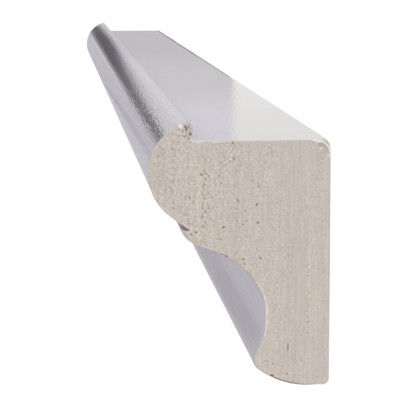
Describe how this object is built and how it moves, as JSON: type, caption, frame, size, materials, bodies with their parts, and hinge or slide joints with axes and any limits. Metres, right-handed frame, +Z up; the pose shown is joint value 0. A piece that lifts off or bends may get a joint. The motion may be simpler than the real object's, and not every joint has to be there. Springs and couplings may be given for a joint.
{
  "type": "light rail moulding",
  "caption": "Straight length of painted wood light rail moulding with a bead lip, a quirk, a nose, a cove and a rounded foot, sawn square at both ends.",
  "frame": {"origin": "middle of the flat top face, half way along the length and half way across the flat", "axes": "+X along the rail towards the sawn end nearest the viewer in the picture, +Y out of the flat back, +Z up out of the flat top; the bead faces -Y"},
  "size_m": [0.61, 0.038, 0.0561],
  "materials": {
    "painted_wood": "satin cool light grey paint on the long faces, matte bare-looking end grain with open pores on the sawn ends"
  },
  "bodies": {
    "root": {"light_rail": "painted_wood"}
  },
  "joints": []
}
